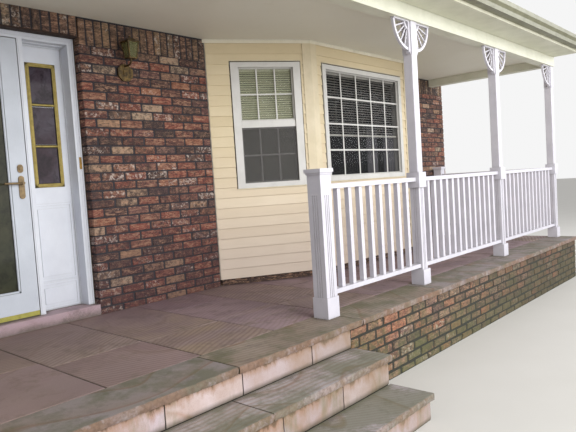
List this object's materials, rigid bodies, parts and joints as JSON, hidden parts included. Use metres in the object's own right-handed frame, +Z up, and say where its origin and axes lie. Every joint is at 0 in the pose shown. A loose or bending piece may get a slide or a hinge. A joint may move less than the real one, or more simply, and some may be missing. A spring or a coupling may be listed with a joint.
{
  "type": "front porch",
  "caption": "Front porch with stone floor, steps, square posts, spindled fan brackets, railings, shed roof, storm door with sidelights and a canted window bay in a brick house wall.",
  "frame": {"origin": "middle of the footprint on the ground", "axes": "+X along the porch front to the right as seen from the street, +Y into the house, +Z up"},
  "size_m": [9.183, 2.853, 3.7341],
  "materials": {
    "brick": "matte",
    "stone": "matte",
    "masonry": "matte",
    "sill_stone": "matte",
    "siding": "matte",
    "white_paint": "satin",
    "ceiling_paint": "satin",
    "door_paint": "satin",
    "window_vinyl": "satin",
    "glass": "gloss",
    "brass": "satin",
    "gutter_metal": "satin",
    "shingle": "matte",
    "aged_brass": "satin",
    "kerb_brick": "matte"
  },
  "bodies": {
    "porch": {"porch_base": "brick", "front_coping": "stone", "floor_slabs": "stone", "riser_stones": "stone", "step_treads": "stone", "step_core": "masonry", "wall_left": "brick", "wall_centre": "brick", "wall_right": "brick", "wall_over_door": "brick", "wall_over_bay": "brick", "bay_left": "siding", "bay_front": "siding", "bay_right": "siding", "bay_kerb": "kerb_brick", "bay_corner_boards": "siding", "bay_trim": "white_paint", "window_frames": "window_vinyl", "window_panes": "glass", "door_sill": "sill_stone", "door_frame": "white_paint", "frame_hinges": "brass", "sidelights": "door_paint", "sidelight_grilles": "brass", "sidelight_panes": "glass", "doorbell": "brass", "newels": "white_paint", "columns": "white_paint", "railing_one": "white_paint", "railing_two": "white_paint", "railing_three": "white_paint", "side_railings": "white_paint", "fan_brackets": "white_paint", "porch_beams": "white_paint", "porch_ceiling": "ceiling_paint", "soffit": "white_paint", "fascia": "gutter_metal", "gutter": "gutter_metal", "roof_deck": "shingle", "roof_ends": "white_paint", "wall_lantern": "aged_brass", "lantern_glass": "glass"},
    "storm_door": {"storm_door": "door_paint", "storm_door_glass": "glass", "storm_door_strip": "brass", "storm_door_hinges": "brass", "door_handle": "brass"}
  },
  "joints": [
    {"name": "storm_door_hinge", "type": "hinge", "parent": "porch", "child": "storm_door", "pos_m": [-2.987, 1.2425, 1.675], "axis": [0, 0, -1], "range_deg": [0, 95]}
  ]
}
